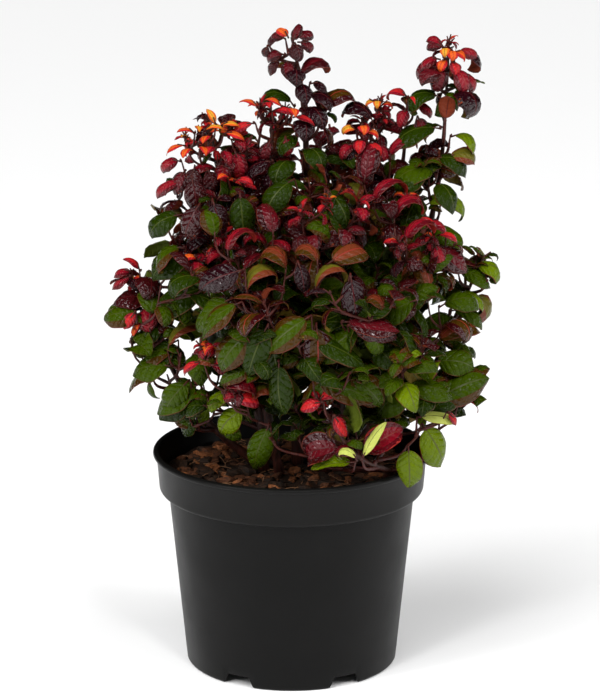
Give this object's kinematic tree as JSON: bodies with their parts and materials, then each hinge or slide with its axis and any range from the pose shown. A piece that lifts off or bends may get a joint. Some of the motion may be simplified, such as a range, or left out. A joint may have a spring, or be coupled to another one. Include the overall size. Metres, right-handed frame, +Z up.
{
  "type": "potted curly red leucothoe",
  "caption": "Small bushy evergreen shrub with curled red, maroon and green leaves, standing in its round black plastic nursery pot.",
  "frame": {"origin": "at floor level, under the middle of the whole plant's box", "axes": "+Z up along the height, the plant's fuller show side faces -Y, +X to the right of someone looking at it"},
  "size_m": [0.274, 0.217, 0.4488],
  "materials": {
    "pot_plastic": "satin black moulded plastic",
    "compost": "moist dark compost with bark chips",
    "bark": "smooth dark red-brown bark",
    "leaves_maroon": "glossy dark maroon young leaves",
    "leaves_bronze": "glossy leaves turning from green to maroon",
    "leaves_green": "glossy green mature leaves",
    "leaves_red": "glossy bright red shoot tips"
  },
  "bodies": {
    "root": {"pot": "pot_plastic", "growing_medium": "compost", "stem_main": "bark", "stem_front_left": "bark", "stem_front_right": "bark", "stem_low_left": "bark", "stem_low_right": "bark", "stem_low_front": "bark", "stem_back_left": "bark", "stem_back_right": "bark", "bough_side_left": "bark", "bough_side_right": "bark", "foliage_spire_left": "leaves_maroon", "foliage_spire_right": "leaves_maroon", "foliage_upper_left": "leaves_maroon", "foliage_upper_middle": "leaves_maroon", "foliage_upper_back": "leaves_maroon", "foliage_crown_front": "leaves_maroon", "foliage_middle_left": "leaves_bronze", "foliage_middle_right": "leaves_bronze", "foliage_middle_back_left": "leaves_bronze", "foliage_middle_back_right": "leaves_bronze", "foliage_heart": "leaves_bronze", "foliage_side_left": "leaves_red", "foliage_side_right": "leaves_red", "foliage_front_left": "leaves_green", "foliage_front_right": "leaves_green", "foliage_low_left": "leaves_green", "foliage_low_right": "leaves_green", "foliage_low_front": "leaves_red", "foliage_low_back_left": "leaves_green", "foliage_low_back_right": "leaves_green"}
  },
  "joints": []
}
